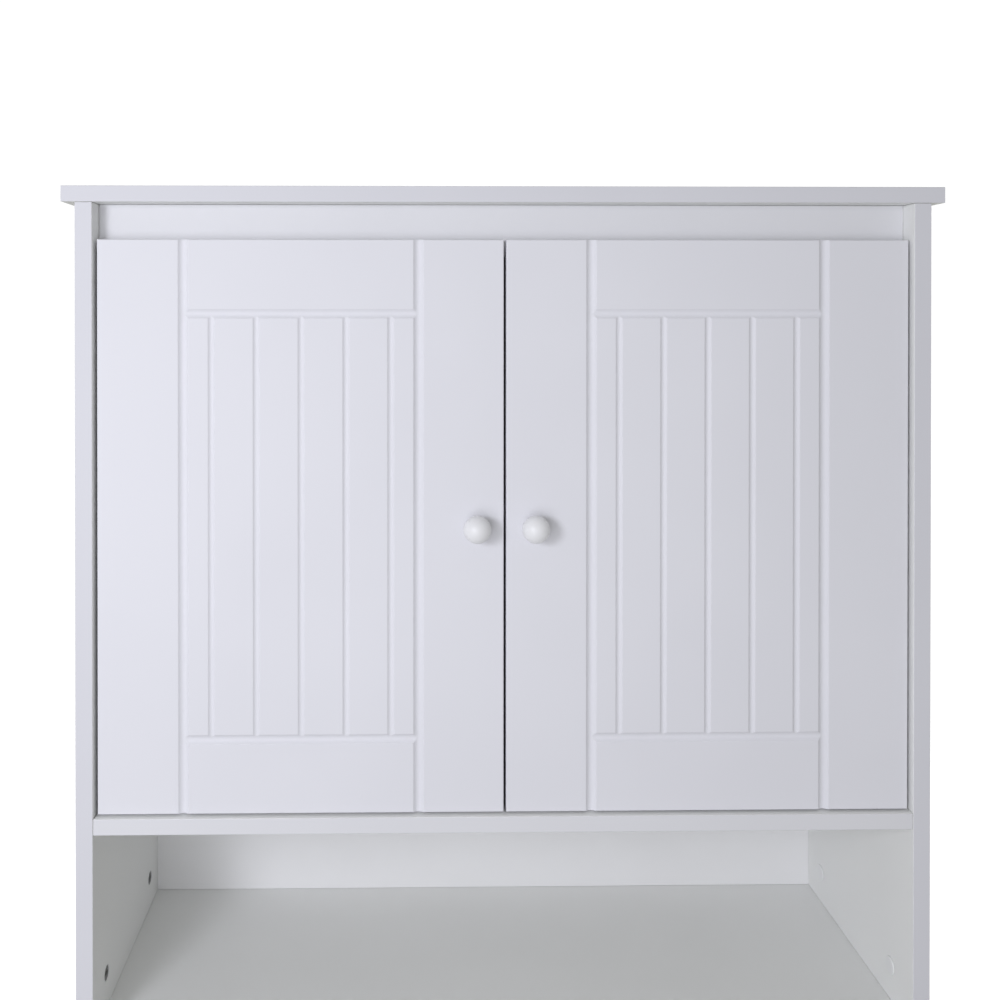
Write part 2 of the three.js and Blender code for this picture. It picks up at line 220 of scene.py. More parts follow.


# Die-cast zinc: dull and pitted, dark in the slot, with a painted highlight: a ring round the rim painted
# bright and less metallic, in place of light caught on its rounded edge.
def castZinc(place):
    pits = place.noise(1500.0, 3.0, 0.6)
    patch = place.noise(260.0, 3.0)
    rimHighlight = place.node("ShaderNodeAttribute", {"attribute_name": "rimHighlight"}, output=2)
    dull = patch.step(0.25, 0.75).blend(zincLook["dark"], zincLook["light"])
    return {
        "Base Color": rimHighlight.blend(dull, zincLook["rimHighlight"]),
        "Metallic": 0.85 - rimHighlight * 0.55,
        "Roughness": 0.42 + (pits - 0.5) * 0.25,
        "Normal": pits.bump(0.08 * mm, 0.7),
    }


plasticLook = {"light": (0.86, 0.865, 0.86, 1), "dark": (0.84, 0.845, 0.84, 1)}


# Moulded plastic with a fine matt grain.
def whitePlastic(place):
    fine = place.noise(1200.0, 2.0)
    return {
        "Base Color": fine.step(0.2, 0.8).blend(plasticLook["dark"], plasticLook["light"]),
        "Roughness": 0.42 + (fine - 0.5) * 0.1,
        "Normal": fine.bump(0.02 * mm, 0.6),
    }


rubberLook = {"light": (0.70, 0.72, 0.74, 1), "dark": (0.62, 0.64, 0.66, 1)}


# Cloudy rubber, faintly mottled.
def clearRubber(place):
    fine = place.noise(900.0, 2.0)
    return {
        "Base Color": fine.step(0.2, 0.8).blend(rubberLook["dark"], rubberLook["light"]),
        "Roughness": 0.3 + fine * 0.15,
        "Normal": fine.bump(0.02 * mm, 0.5),
    }


look = {
    "white_board": makeMaterial("boardFoil", foil("board", foilLook["boardRoughness"], 0.05)),
    "door_foil": makeMaterial("doorFoil", foil("door", foilLook["doorRoughness"], 0.05)),
    "back_board": makeMaterial("hardboard", hardboard),
    "knob_lacquer": makeMaterial("knobLacquer", lacquer),
    "nickel": makeMaterial("nickelPlate", nickelPlate),
    "zinc": makeMaterial("castZinc", castZinc),
    "white_plastic": makeMaterial("capPlastic", whitePlastic),
    "clear_rubber": makeMaterial("bumperRubber", clearRubber),
}
print("materials made:", len(look))

nodeSlot = {row["node"]: row["material_slot"] for row in frame["record"]["subparts"]}
bodyOf = {node: body for body, nodes in frame["record"]["behaviour"]["bodies"].items() for node in nodes}


# The four-sided faces of a grid of points; wrap joins the last column to the first.
def gridFaces(rows, columns, wrap=False, start=0):
    across = np.arange(columns if wrap else columns - 1)
    down = np.arange(rows - 1)[:, None]
    left = start + down * columns + across
    right = start + down * columns + (across + 1) % columns
    return np.stack([left, right, right + columns, left + columns], -1).reshape(-1, 4).tolist()


# Points and faces become a closed mesh: doubles merged, specks dropped, faces turned outwards.
def makeMesh(name, points, faces, flat=None):
    mesh = bpy.data.meshes.new(name)
    mesh.from_pydata(points.reshape(-1, 3).tolist(), [], faces)
    flat = np.zeros(len(faces), bool) if flat is None else np.asarray(flat, bool)
    mesh.polygons.foreach_set("use_smooth", ~flat)
    work = bmesh.new()
    work.from_mesh(mesh)
    bmesh.ops.remove_doubles(work, verts=work.verts, dist=1e-7)
    bmesh.ops.recalc_face_normals(work, faces=work.faces)
    work.to_mesh(mesh)
    work.free()
    piece = bpy.data.objects.new(name, mesh)
    bpy.context.scene.collection.objects.link(piece)
    return piece


# Gives a piece its finish and the body that it rides.
def dress(piece, body, slot):
    piece.data.materials.clear()
    piece.data.materials.append(look[slot])
    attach(piece, body)


# Puts a piece in the place of the frame's node.
def mount(piece, node):
    dress(piece, bodyOf[node], nodeSlot[node])
    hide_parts(node)


# A profile of [radius, height] points turned about an axis. relief(u, v) is cut out of the first
# topRows rows, where u and v run across the axis. basis holds the axes u, v and the turning axis.
def turned(name, profile, centre, basis, segments=48, relief=None, topRows=0):
    profile = np.asarray(profile, float) * mm
    angle = np.linspace(0, 2 * math.pi, segments, endpoint=False)
    u = profile[:, :1] * np.cos(angle)
    v = profile[:, :1] * np.sin(angle)
    height = np.repeat(profile[:, 1:], segments, axis=1)
    if relief is not None:
        height[:topRows] -= relief(u[:topRows] / mm, v[:topRows] / mm) * mm
    basis = np.asarray(basis, float)
    points = np.asarray(centre, float) + u[..., None] * basis[0] + v[..., None] * basis[1]
    points = points + height[..., None] * basis[2]
    return makeMesh(name, points, gridFaces(len(profile), segments, wrap=True))


# A quarter circle of [radius, height] points from the top face over a rounded rim.
def rimArc(radius, top, rounding, steps=5):
    turn = np.linspace(0, math.pi / 2, steps)
    out = radius - rounding * (1 - np.sin(turn))
    up = top - rounding * (1 - np.cos(turn))
    return np.stack([out, up], 1)


axisBasis = {
    "+x": [(0, 1, 0), (0, 0, 1), (1, 0, 0)], "-x": [(0, 0, 1), (0, 1, 0), (-1, 0, 0)],
    "+y": [(0, 0, 1), (1, 0, 0), (0, 1, 0)], "-y": [(1, 0, 0), (0, 0, 1), (0, -1, 0)],
    "+z": [(1, 0, 0), (0, 1, 0), (0, 0, 1)], "-z": [(0, 1, 0), (1, 0, 0), (0, 0, -1)],
}


overrun = 2  # how far a through hole's cutter stands past each face


# Round holes: each is (axis, centre, radius, length), a closed bar that is taken out of the piece.
def drill(piece, holes):
    bars = []
    for axis, centre, radius, length in holes:
        half = length / 2
        profile = [[0, half], [radius, half], [radius, -half], [0, -half]]
        bars.append(turned("bore", profile, centre, axisBasis[axis], 40))
    cutter = bars[0]
    for other in bars[1:]:
        work = bmesh.new()
        work.from_mesh(cutter.data)
        work.from_mesh(other.data)
        work.to_mesh(cutter.data)
        work.free()
        bpy.data.objects.remove(other)
    modifier = piece.modifiers.new("holes", "BOOLEAN")
    modifier.operation = "DIFFERENCE"
    modifier.solver = "EXACT"
    modifier.object = cutter
    bpy.context.view_layer.update()
    evaluated = piece.evaluated_get(bpy.context.evaluated_depsgraph_get())
    result = bpy.data.meshes.new_from_object(evaluated)
    piece.modifiers.clear()
    piece.data = result
    result.name = piece.name
    bpy.data.objects.remove(cutter)
    return piece


nailLook = {"radius": 2.2, "crown": 0.35, "sink": 0.2, "inset": 7.0, "sideCount": 7, "endCount": 6,
            "shelfRise": 7.5}                         # from the fixed shelf's underside to its nails

boardLook = {
    "rounding": 0.7, "cornerSteps": 5, "rearRounding": 0.3,
    "snug": {"top_rail": 0.3},                            # a tighter rounding where boards meet
    "bandShare": {"top_rail": 0.7, "fixed_shelf": 0.75},  # of the edge band's tone, if not all
    "boreGap": 0.3, "boreMouth": 1.0,                     # round a cam, and past its face
    "pinHoleSteps": (-64, 0, 64),                         # spare holes below and above each pin
    "wallHoleOffset": 300, "wallHoleRadius": 3,           # through the rear rail and the back
}


# The box that a board fills; the back is planed down a little so that its nails stay in line.
def boardBox(node):
    low, high = (np.array(corner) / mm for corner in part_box(node))
    if node == "back_panel":
        high[1] -= nailLook["crown"]
    return low, high


# A rounded rectangle carried along the board's longest side. Towards each end the outline draws in by
# r (1 - sin a) while it moves out by r (1 - cos a), so that every edge and corner is rounded alike.
def roundedBoard(node, rounding):
    low, high = boardBox(node)
    size = high - low
    along = int(np.argmax(size))
    across, up = (along + 1) % 3, (along + 2) % 3
    steps = boardLook["cornerSteps"]
    turn = np.linspace(0, math.pi / 2, steps)
    draw = rounding * (1 - np.sin(turn))
    out = rounding * (1 - np.cos(turn))
    inset = np.concatenate([draw, draw[::-1]])
    station = np.concatenate([low[along] + out, high[along] - out[::-1]])
    angle = np.concatenate([corner * math.pi / 2 + turn for corner in range(4)])
    signA = np.repeat([1, -1, -1, 1], steps)
    signB = np.repeat([1, 1, -1, -1], steps)
    middle = (low + high) / 2
    reach = size / 2 - rounding
    points = np.zeros((len(inset), len(angle), 3))
    points[..., along] = station[:, None]
    bend = (rounding - inset)[:, None]
    points[..., across] = middle[across] + signA * reach[across] + bend * np.cos(angle)
    points[..., up] = middle[up] + signB * reach[up] + bend * np.sin(angle)
    rows, columns = points.shape[:2]
    faces = gridFaces(rows, columns, wrap=True)
    wide = (np.arange(columns) % steps) == steps - 1
    flat = np.zeros((rows - 1, columns), bool)
    flat[:, wide] = np.arange(rows - 1)[:, None] == steps - 1
    faces += [list(range(columns)), list(range((rows - 1) * columns, rows * columns))]
    return makeMesh(dashed(node) + "-shell", points * mm, faces, [*flat.ravel(), True, True])


def dashed(node):
    return node.replace("_", "-")


def nodeMiddle(node):
    low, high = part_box(node)
    return (np.array(low) + np.array(high)) / 2


def nodeSize(node):
    low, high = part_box(node)
    return (np.array(high) - np.array(low)) / mm


camNames = [node for node in frame["nodes"] if node.endswith("_cam")]
pinNames = [node for node in frame["nodes"] if node.endswith("_shelf_pin")]
hands = {"left": -1, "right": 1}


# The bores in a side: one round each cam, and three in a row for each shelf pin.
def sideHoles(hand):
    gap = boardLook["boreGap"]
    mouth = boardLook["boreMouth"]
    holes = []
    for node in camNames:
        if node.startswith(hand) and "_shelf_" not in node:
            centre = nodeMiddle(node)
            centre[0] -= hands[hand] * mouth * mm
            length = nodeSize(node)[0] + 2 * (mouth + gap)
            holes.append(("+x", centre, nodeSize(node)[1] / 2 + gap, length))
    for node in pinNames:
        if node.startswith(hand):
            for step in boardLook["pinHoleSteps"]:
                centre = nodeMiddle(node)
                centre[2] += step * mm
                holes.append(("+x", centre, nodeSize(node)[1] / 2 + gap, nodeSize(node)[0] + 2 * gap))
    return holes


# Marks the faces that look forward as the edge band, in full or in part, and mounts the board.
def mountBoard(board, node):
    normals = np.zeros(len(board.data.polygons) * 3)
    board.data.polygons.foreach_get("normal", normals)
    share = boardLook["bandShare"].get(node, 1.0)
    banded = board.data.attributes.new("banded", "FLOAT", "FACE")
    banded.data.foreach_set("value", share * (normals[1::3] < -0.6))
    mount(board, node)


def makeBoards():
    for node in ("top_board", "bottom_board", "top_rail", "adjustable_shelf"):
        mountBoard(roundedBoard(node, boardLook["snug"].get(node, boardLook["rounding"])), node)
    for hand in hands:
        node = f"{hand}_side_panel"
        mountBoard(drill(roundedBoard(node, boardLook["rounding"]), sideHoles(hand)), node)
    shelf = roundedBoard("fixed_shelf", boardLook["rounding"])
    gap = boardLook["boreGap"]
    mouth = boardLook["boreMouth"]
    holes = []
    for node in camNames:
        if "_shelf_" in node:
            centre = nodeMiddle(node)
            centre[2] -= mouth * mm
            length = nodeSize(node)[2] + 2 * (mouth + gap)
            holes.append(("+z", centre, nodeSize(node)[0] / 2 + gap, length))
    mountBoard(drill(shelf, holes), "fixed_shelf")
    level = nodeMiddle("rear_rail")[2]
    for node in ("rear_rail", "back_panel"):
        board = roundedBoard(node, boardLook["rearRounding"])
        length = nodeSize(node)[1] + 2 * overrun
        holes = []
        for way in (-1, 1):
            centre = (way * boardLook["wallHoleOffset"] * mm, nodeMiddle(node)[1], level)
            holes.append(("+y", centre, boardLook["wallHoleRadius"], length))
        mountBoard(drill(board, holes), node)


makeBoards()
print("boards made")


def makeNails():
    low, high = boardBox("back_panel")
    inset = nailLook["inset"]
    xs = np.linspace(low[0] + inset, high[0] - inset, nailLook["endCount"])
    zs = np.linspace(low[2] + inset, high[2] - inset, nailLook["sideCount"])
    spots = [(x, z) for x in (xs[0], xs[-1]) for z in zs]
    spots += [(x, zs[-1]) for x in xs[1:-1]]
    spots += [(x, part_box("fixed_shelf")[0].z / mm + nailLook["shelfRise"]) for x in xs[1:-1]]
    share = np.linspace(0, 1, 6)
    crown = np.stack([nailLook["radius"] * share, nailLook["crown"] * (1 - share ** 2)], 1)
    profile = np.concatenate([crown, [[nailLook["radius"], -nailLook["sink"]], [0, -nailLook["sink"]]]])
    for number, (x, z) in enumerate(spots, 1):
        centre = (x * mm, high[1] * mm, z * mm)
        dress(turned(f"back-nail-{number}", profile, centre, axisBasis["+y"], 20), "carcass", "nickel")


makeNails()
print("back nailed")


doorLook = {
    "stile": 80.0, "cross": 69.5,            # door edge to the middle of a groove
    "beads": 5, "pitch": 41.9,
    "stileGroove": (9.6, 2.7), "crossGroove": (8.6, 2.4), "beadGroove": (6.2, 1.6),  # width, depth
    "shoulder": 0.22,                        # softness of a groove's shoulders
    "reach": 0.79,                           # where a groove ends, in widths from its middle
    "flatBelow": 1e-5,                       # summed depth under which a face counts as flat
    "frontRounding": 1.1, "rearRounding": 0.5,
    "cupGap": 0.3, "screwHole": 2.2,
}


# Where a groove needs points across it: crowded at the shoulders and walls, sparse beyond.
def grooveStations(middle, width):
    share = np.array([0, 0.1, 0.2, 0.29, 0.36, 0.42, 0.465, 0.5, 0.535, 0.58, 0.66, 0.8])
    return np.concatenate([middle - share[::-1] * width, middle + share * width])


# A groove's depth at u from its middle: the parabola D (1 - (2u/w)^2), joined to the flat by the
# smooth maximum (q + sqrt(q^2 + s^2)) / 2.
def grooveDepth(u, groove):
    width, depth = groove
    q = depth * (1 - (2 * u / width) ** 2)
    soft = doorLook["shoulder"]
    return np.where(np.abs(u) > doorLook["reach"] * width, 0, (q + np.sqrt(q * q + soft * soft)) / 2)


# How far a rounded edge of radius r drops at distance e in from it: r - sqrt(r^2 - (r - e)^2).
def edgeDrop(e, rounding):
    inside = np.clip(rounding - e, 0, rounding)
    return rounding - np.sqrt(np.maximum(rounding ** 2 - inside ** 2, 0))


def edgeStations(low, high, rounding):
    turn = np.linspace(0, math.pi / 2, 7)
    step = rounding * (1 - np.cos(turn))
    return np.concatenate([low + step, high - step])


# A door: the front is a height field over x and z, the deepest of the grooves and the rounded edges;
# its rim runs straight back, turns the rear edge and closes on a flat back, which is then drilled.
def routedDoor(node, hand):
    low, high = (np.array(corner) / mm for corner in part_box(node))
    grooveXs = [low[0] + doorLook["stile"], high[0] - doorLook["stile"]]
    grooveZs = [low[2] + doorLook["cross"], high[2] - doorLook["cross"]]
    middle = (low[0] + high[0]) / 2
    count = doorLook["beads"]
    beadXs = [middle + (bead - (count - 1) / 2) * doorLook["pitch"] for bead in range(count)]
    rounding = doorLook["frontRounding"]
    xs = [edgeStations(low[0], high[0], rounding)]
    xs += [grooveStations(x, doorLook["stileGroove"][0]) for x in grooveXs]
    xs += [grooveStations(x, doorLook["beadGroove"][0]) for x in beadXs]
    zs = [edgeStations(low[2], high[2], rounding)]
    zs += [grooveStations(z, doorLook["crossGroove"][0]) for z in grooveZs]
    xs = np.unique(np.round(np.concatenate(xs), 4))
    zs = np.unique(np.round(np.concatenate(zs), 4))
    x, z = xs[None, :], zs[:, None]
    depth = np.maximum(edgeDrop(np.minimum(x - low[0], high[0] - x), rounding),
                       edgeDrop(np.minimum(z - low[2], high[2] - z), rounding))
    for middleX in grooveXs:
        depth = np.maximum(depth, grooveDepth(x - middleX, doorLook["stileGroove"]) + 0 * z)
    betweenStiles = (x >= grooveXs[0]) & (x <= grooveXs[1])
    betweenCross = (z >= grooveZs[0]) & (z <= grooveZs[1])
    for middleZ in grooveZs:
        depth = np.maximum(depth, grooveDepth(z - middleZ, doorLook["crossGroove"]) * betweenStiles)
    for middleX in beadXs:
        depth = np.maximum(depth, grooveDepth(x - middleX, doorLook["beadGroove"]) * betweenCross)
    front = np.stack(np.broadcast_arrays(x, low[1] + depth, z), -1)
    rows, columns = depth.shape
    index = np.arange(rows * columns).reshape(rows, columns)
    rim = np.concatenate([index[0, :-1], index[:-1, -1], index[-1, :0:-1], index[:0:-1, 0]])
    rimPoints = front.reshape(-1, 3)[rim]
    small = doorLook["rearRounding"]
    turn = np.linspace(0, math.pi / 2, 4)
    rings = [rimPoints]
    for inset, back in zip(small * (1 - np.cos(turn)), small * (1 - np.sin(turn))):
        ring = rimPoints.copy()
        ring[:, 0] = np.clip(ring[:, 0], low[0] + inset, high[0] - inset)
        ring[:, 2] = np.clip(ring[:, 2], low[2] + inset, high[2] - inset)
        ring[:, 1] = high[1] - back
        rings.append(ring)
    wallStart = rows * columns
    walls = np.stack(rings)
    count = len(rim)
    faces = gridFaces(rows, columns)
    faces += gridFaces(len(rings), count, wrap=True, start=wallStart)
    faces.append(list(range(wallStart + (len(rings) - 1) * count, wallStart + len(rings) * count)))
    flat = np.zeros(len(faces), bool)
    flat[-1] = True
    corners = depth[:-1, :-1] + depth[1:, 1:] + depth[1:, :-1] + depth[:-1, 1:]
    flat[:corners.size] = corners.ravel() < doorLook["flatBelow"]
    points = np.concatenate([front.reshape(-1, 3), walls.reshape(-1, 3)])
    door = makeMesh(f"{hand}-routed-door", points * mm, faces, flat)
    holes = []
    for level in ("lower", "upper"):
        cup = f"{hand}_{level}_hinge_cup"
        centre = nodeMiddle(cup)
        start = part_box(cup)[0].y / mm - doorLook["cupGap"]
        end = high[1] + overrun
        centre[1] = (start + end) / 2 * mm
        holes.append(("+y", centre, nodeSize(cup)[0] / 2 + doorLook["cupGap"], end - start))
    screw = nodeMiddle(f"{hand}_knob_screw")
    screw[1] = (low[1] + high[1]) / 2 * mm
    holes.append(("+y", screw, doorLook["screwHole"], high[1] - low[1] + 2 * overrun))
    return drill(door, holes)


for handName in hands:
    mount(routedDoor(f"{handName}_door", handName), f"{handName}_door")
print("doors made")


knobLook = {
    "neck": 6.0, "foot": 8.0, "footEdge": 0.9, "footRounding": 0.3,
    "flare": 2.2,                            # how late the neck widens into the foot
    "bore": 2.2, "boreDepth": 14.3,
}


# A ball on a waisted neck. From the tip: the ball's arc, a hollow fillet down the neck, a flared
# foot with a rounded rim, and the screw's blind bore.
def turnedKnob(hand):
    node = f"{hand}_knob"
    low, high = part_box(node)
    radius = (high.x - low.x) / 2 / mm
    reach = (high.y - low.y) / mm
    ballMiddle = reach - radius
    neck = knobLook["neck"]
    turn = np.linspace(0, math.pi - math.asin(neck / radius), 30)
    ball = np.stack([radius * np.sin(turn), ballMiddle + radius * np.cos(turn)], 1)
    top = ball[-1, 1]
    rise = np.linspace(0, 1, 8)[1:]
    flare = neck + (knobLook["foot"] - neck) * rise ** knobLook["flare"]
    stem = np.stack([flare, top * (1 - rise) + knobLook["footEdge"] * rise], 1)
    small = knobLook["footRounding"]
    foot = [[knobLook["foot"], small], [knobLook["foot"] - small, 0.0]]
    depth = knobLook["boreDepth"]
    bore = [[knobLook["bore"], 0.0], [knobLook["bore"], depth], [0, depth]]
    centre = nodeMiddle(node)
    centre[1] = high.y
    profile = np.concatenate([ball, stem, foot, bore])
    return turned(f"{hand}-turned-knob", profile, centre, axisBasis["-y"], 64)


for handName in hands:
    mount(turnedKnob(handName), f"{handName}_knob")
print("knobs made")


# The second value is the width in mm of the painted highlight ring at the cam's rim.
camLook = {"rim": 0.5, "rimHighlight": 1.3, "slotLength": 9.6, "slotWidth": 1.9, "slotDepth": 2.0, "soft": 0.35}


# A crossed slot: the depth where either of two bars holds (u, v), easing off over a soft border.
def crossSlot(length, width, depth, soft):
    def relief(u, v):
        first = np.maximum(np.abs(u) - length / 2, np.abs(v) - width / 2)
        second = np.maximum(np.abs(v) - length / 2, np.abs(u) - width / 2)
        return depth * np.clip(0.5 - np.minimum(first, second) / soft, 0, 1)
    return relief


def makeCam(node):
    centre, size = nodeMiddle(node), nodeSize(node)
    below = "_shelf_" in node
    facing = "-z" if below else ("+x" if node.startswith("left") else "-x")
    radius, height = (size[0], size[2]) if below else (size[1], size[0])
    radius, half = radius / 2, height / 2
    face = [[r, half] for r in np.linspace(0, radius - camLook["rim"], 26)]
    side = [[radius, -half], [0, -half]]
    profile = np.concatenate([face, rimArc(radius, half, camLook["rim"])[1:], side])
    relief = crossSlot(camLook["slotLength"], camLook["slotWidth"], camLook["slotDepth"], camLook["soft"])
    name = dashed(node) + "-disc"
    disc = turned(name, profile, centre, axisBasis[facing], 72, relief, len(face))
    # The painted highlight's ring: how near each point lies to the rim, made into a share that castZinc
    # paints bright and less metallic.
    spots = np.zeros(len(disc.data.vertices) * 3)
    disc.data.vertices.foreach_get("co", spots)
    offset = (spots.reshape(-1, 3) - centre) / mm
    reach = np.linalg.norm(offset - offset @ np.outer(*[axisBasis[facing][2]] * 2), axis=1)
    rimHighlight = np.clip((reach - radius + camLook["rimHighlight"]) / camLook["rimHighlight"] * 1.5, 0, 1)
    disc.data.attributes.new("rimHighlight", "FLOAT", "POINT").data.foreach_set("value", rimHighlight)
    return disc


capLook = {"rounding": 1.0, "crown": 0.15}


def makeCap(node):
    size = nodeSize(node)
    radius, half = size[1] / 2, size[0] / 2
    share = np.linspace(0, 1, 10)
    crown = np.stack([(radius - capLook["rounding"]) * share, half - capLook["crown"] * share ** 2], 1)
    rim = rimArc(radius, half - capLook["crown"], capLook["rounding"])[1:]
    profile = np.concatenate([crown, rim, [[radius, -half], [0, -half]]])
    return turned(dashed(node) + "-cover", profile, nodeMiddle(node), axisBasis["-x"], 56)


pinLook = {"rounding": 0.6}


def makePin(node):
    size = nodeSize(node)
    radius, half = size[1] / 2, size[0] / 2
    end = np.concatenate([[[0, half]], rimArc(radius, half, pinLook["rounding"])])
    profile = np.concatenate([end, (end * [1, -1])[::-1]])
    return turned(dashed(node) + "-dowel", profile, nodeMiddle(node), axisBasis["+x"], 32)


bumperLook = {"fullness": 0.7}  # below one, the dome is fuller at its top


def makeBumper(node):
    size = nodeSize(node)
    radius, half = size[0] / 2, size[1] / 2
    turn = np.linspace(0, math.pi / 2, 9)
    fall = np.maximum(np.cos(turn), 0) ** bumperLook["fullness"]
    dome = np.stack([radius * np.sin(turn), half * (2 * fall - 1)], 1)
    profile = np.concatenate([dome, [[radius, -half], [0, -half]]])
    return turned(dashed(node) + "-pad", profile, nodeMiddle(node), axisBasis["-y"], 40)


makers = {"_cam": makeCam, "_cam_cap": makeCap, "_shelf_pin": makePin, "_bumper": makeBumper}
for node in frame["nodes"]:
    for ending, make in makers.items():
        if node.endswith(ending):
            mount(make(node), node)
print("small fittings made")


hingeLook = {"bevel": 0.25, "sharp": math.radians(32), "level": math.radians(0.6)}


# A pressed or cast part: the node's own shape with its doubles merged, its flat faces joined and
# every sharp edge broken by a small round.
def brokenEdges(node, width):
    mesh = frame["nodes"][node].data.copy()
    mesh.name = dashed(node) + "-pressed"
    mesh.materials.clear()
    work = bmesh.new()
    work.from_mesh(mesh)
    bmesh.ops.remove_doubles(work, verts=work.verts, dist=2e-6)
    bmesh.ops.dissolve_limit(work, angle_limit=hingeLook["level"], verts=work.verts, edges=work.edges)
    sharp = [edge for edge in work.edges if edge.calc_face_angle(0) > hingeLook["sharp"]]
    bmesh.ops.bevel(work, geom=sharp, offset=width * mm, offset_type="OFFSET", segments=2,
                    profile=0.5, affect="EDGES", clamp_overlap=True)
    bmesh.ops.remove_doubles(work, verts=work.verts, dist=2e-6)
    for face in work.faces:
        face.smooth = True
    work.to_mesh(mesh)
    work.free()
    mesh.set_sharp_from_angle(angle=hingeLook["sharp"])
    piece = bpy.data.objects.new(mesh.name, mesh)
    bpy.context.scene.collection.objects.link(piece)
    return piece


hingeNodes = [node for node in frame["nodes"] if "_hinge_" in node or node.endswith("_knob_screw")]
for node in hingeNodes:
    mount(brokenEdges(node, hingeLook["bevel"]), node)

screwLook = {
    "height": 1.5, "crown": 0.55,            # and the share of it that falls towards the rim
    "slot": 4.0, "slotWidth": 0.9, "slotDepth": 1.1, "soft": 0.25,
    "cupRadius": 3.2, "cupInset": 4.75, "cupSink": 0.3,
    "plateRadius": 3.6, "plateInset": 6.0, "plateBack": 20.0, "plateHeight": 1.9,
    "armRadius": 3.0, "armHeight": 7.1,      # from the middle of the plate
    "armBacks": {"fixing": 16, "adjusting": 38},
}


# A screw's head, a shallow dome with a crossed slot.
def screwHead(name, centre, facing, body, radius):
    share = np.linspace(0, 1, 20)
    crown = np.stack([radius * share, screwLook["height"] * (1 - screwLook["crown"] * share ** 2)], 1)
    profile = np.concatenate([crown, [[radius, 0], [0, 0]]])
    relief = crossSlot(screwLook["slot"], screwLook["slotWidth"], screwLook["slotDepth"], screwLook["soft"])
    dress(turned(name, profile, centre, axisBasis[facing], 48, relief, len(crown)), body, "nickel")


def makeHingeScrews(hand, level):
    cup = f"{hand}_{level}_hinge_cup"
    plate = f"{hand}_{level}_hinge_plate"
    arm = f"{hand}_{level}_hinge_arm"
    facing = {"left": "+x", "right": "-x"}[hand]
    inward = -hands[hand]
    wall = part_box(plate)[0].x if hand == "left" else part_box(plate)[1].x
    for end, way in (("low", -1), ("high", 1)):
        centre = nodeMiddle(cup)
        centre[1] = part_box(cup)[1].y - screwLook["cupSink"] * mm
        centre[2] += way * (nodeSize(cup)[2] / 2 - screwLook["cupInset"]) * mm
        name = f"{hand}-{level}-cup-screw-{end}"
        screwHead(name, centre, "+y", f"{hand}_door", screwLook["cupRadius"])
        centre = nodeMiddle(plate)
        centre[0] = wall + inward * screwLook["plateHeight"] * mm
        centre[1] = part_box(plate)[0].y + screwLook["plateBack"] * mm
        centre[2] += way * (nodeSize(plate)[2] / 2 - screwLook["plateInset"]) * mm
        name = f"{hand}-{level}-plate-screw-{end}"
        screwHead(name, centre, facing, "carcass", screwLook["plateRadius"])
    armFace = nodeMiddle(plate)[0] + inward * screwLook["armHeight"] * mm
    for label, back in screwLook["armBacks"].items():
        centre = (armFace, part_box(arm)[1].y - back * mm, nodeMiddle(arm)[2])
        screwHead(f"{hand}-{level}-{label}-screw", centre, facing, "carcass", screwLook["armRadius"])


for handName in hands:
    for level in ("lower", "upper"):
        makeHingeScrews(handName, level)
print("hinges made")


stageLook = {
    "floorRadius": 1.9, "fadeStart": 0.5, "fadeEnd": 1.2, "floorGlow": 0.55,
    "domeRadius": 7.0, "domeGlow": 1.05, "domeRows": 25, "domeColumns": 48,
    "roomColour": (1.0, 1.0, 0.98, 1), "roomStrength": 0.375,
}


# A disc that fades out towards its rim. It takes the cabinet's shadow but throws no light on it.
def makeFloor():
    ring = np.linspace(0, 2 * math.pi, 96, endpoint=False)
    points = np.stack([np.cos(ring), np.sin(ring), 0 * ring], 1) * stageLook["floorRadius"]
    points[:, 2] = -0.2 * mm
    floor = makeMesh("floor", points, [list(range(len(ring)))], [True])
    material = bpy.data.materials.new("paleFloor")
    material.use_nodes = True
    tree = material.node_tree
    tree.nodes.clear()
    start = Wire(tree)
    place = start.node("ShaderNodeTexCoord", output="Object")
    reach = place.node("ShaderNodeVectorMath", {"operation": "LENGTH"}, {0: place}, "Value")
    fade = reach.step(stageLook["fadeStart"], stageLook["fadeEnd"])
    paint = {"Base Color": (0.86, 0.86, 0.87, 1), "Roughness": 0.7,
             "Emission Color": (1, 1, 1, 1), "Emission Strength": stageLook["floorGlow"]}
    pale = start.node("ShaderNodeBsdfPrincipled", None, paint)
    clear = start.node("ShaderNodeBsdfTransparent")
    mixed = start.node("ShaderNodeMixShader", None, {0: fade, 1: pale, 2: clear})
    start.node("ShaderNodeOutputMaterial", None, {"Surface": mixed})
    floor.data.materials.append(material)
    floor.visible_diffuse = False
    floor.visible_glossy = False


# A white dome that only the camera sees: x = sin a cos b, y = sin a sin b, z = cos a.
def makeDome():
    rows, columns = stageLook["domeRows"], stageLook["domeColumns"]
    across = np.linspace(0, math.pi, rows)[:, None]
    around = np.linspace(0, 2 * math.pi, columns, endpoint=False)[None, :]
    x = np.sin(across) * np.cos(around)
    y = np.sin(across) * np.sin(around)
    z = np.cos(across) + 0 * around
    shell = np.stack([x, y, z], -1)
    dome = makeMesh("backdropDome", shell * stageLook["domeRadius"], gridFaces(rows, columns, wrap=True))
    glow = bpy.data.materials.new("whiteBackdrop")
    glow.use_nodes = True
    glow.node_tree.nodes.clear()
    begin = Wire(glow.node_tree)
    light = begin.node("ShaderNodeEmission", None, {"Strength": stageLook["domeGlow"]})
    begin.node("ShaderNodeOutputMaterial", None, {"Surface": light})
    dome.data.materials.append(glow)
    for ray in ("diffuse", "glossy", "transmission", "volume_scatter", "shadow"):
        setattr(dome, f"visible_{ray}", False)


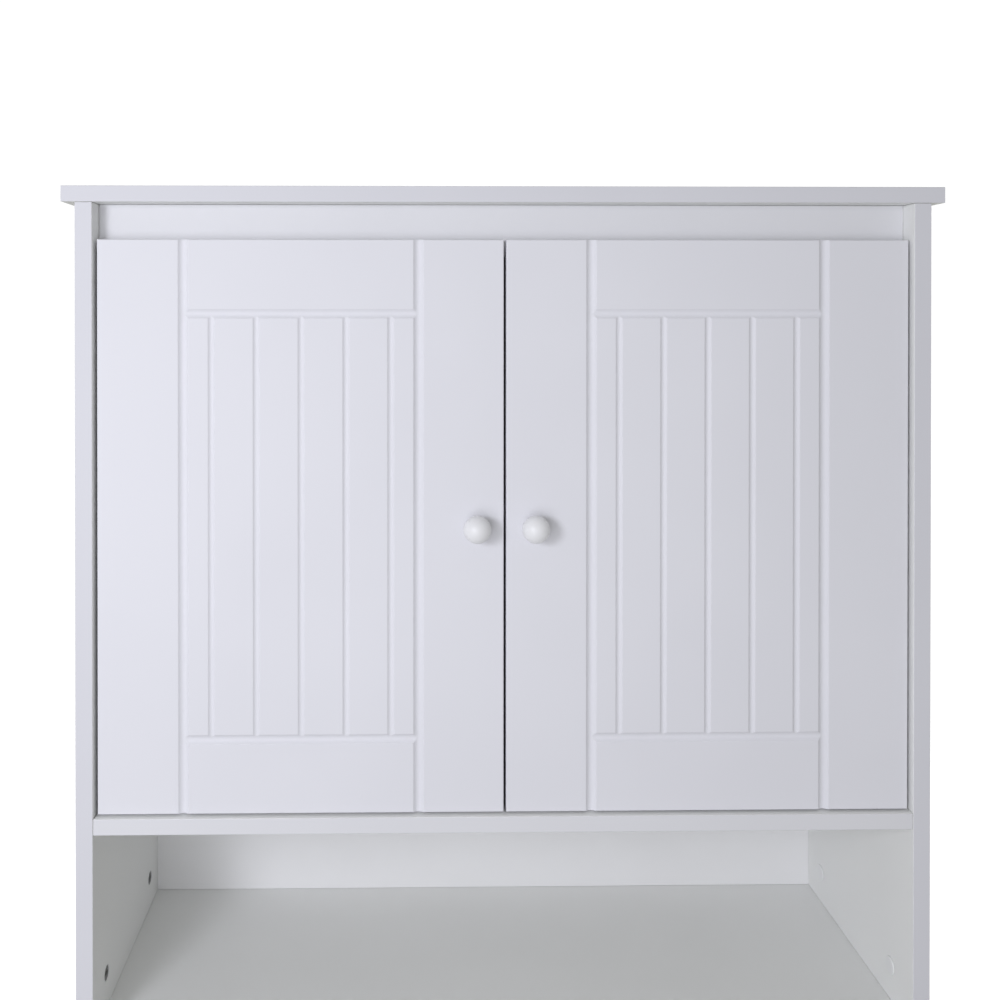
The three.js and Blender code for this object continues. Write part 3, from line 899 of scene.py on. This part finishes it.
# Each light's place, aim, width, power and colour.
lights = {
    "keyLight": ((-0.90, -1.50, 0.84), (0.0, -0.13, 0.45), 0.45, 9.2, (0.93, 0.94, 1.03)),
    "softKeyLight": ((-0.45, -1.55, 0.38), (0.0, -0.13, 0.40), 1.0, 6.9, (0.93, 0.94, 1.03)),
    "rearRightLight": ((2.1, 1.1, 1.3), (0.0, 0.1, 0.4), 1.2, 26.0, (1.0, 1.0, 1.0)),
    "rearLeftLight": ((-2.2, 1.1, 1.3), (0.0, 0.1, 0.4), 1.2, 16.0, (1.0, 1.0, 1.0)),
}


def makeLights():
    for name, (spot, aim, width, power, colour) in lights.items():
        data = bpy.data.lights.new(name, "AREA")
        data.shape = "DISK"
        data.size = width
        data.energy = power
        data.color = colour
        lamp = bpy.data.objects.new(name, data)
        lamp.location = spot
        lamp.rotation_mode = "QUATERNION"
        lamp.rotation_quaternion = (Vector(aim) - Vector(spot)).to_track_quat("-Z", "Y")
        bpy.context.scene.collection.objects.link(lamp)
    world = bpy.data.worlds.new("softRoom")
    world.use_nodes = True
    background = world.node_tree.nodes["Background"]
    background.inputs["Color"].default_value = stageLook["roomColour"]
    background.inputs["Strength"].default_value = stageLook["roomStrength"]
    bpy.context.scene.world = world


cameraLook = {
    "standOff": 0.992,        # in front of the sides' front edges
    "across": -0.0939, "height": 0.6854,
    "turnRight": 0.90, "tiltDown": 0.294,  # degrees
    "lens": 38.36, "shiftX": 0.0783, "shiftY": -0.1758,
}


def makeCamera():
    data = bpy.data.cameras.new("camera")
    data.lens = cameraLook["lens"]
    data.sensor_width = 36.0
    data.shift_x = cameraLook["shiftX"]
    data.shift_y = cameraLook["shiftY"]
    data.clip_end = 50
    camera = bpy.data.objects.new("camera", data)
    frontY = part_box("left_side_panel")[0].y
    camera.location = (cameraLook["across"], frontY - cameraLook["standOff"], cameraLook["height"])
    tilt = math.radians(90 - cameraLook["tiltDown"])
    camera.rotation_euler = (tilt, 0, -math.radians(cameraLook["turnRight"]))
    bpy.context.scene.collection.objects.link(camera)
    bpy.context.scene.camera = camera


makeFloor()
makeDome()
makeLights()
makeCamera()
bpy.context.scene.view_settings.view_transform = "Standard"
print("stage, light and camera set")
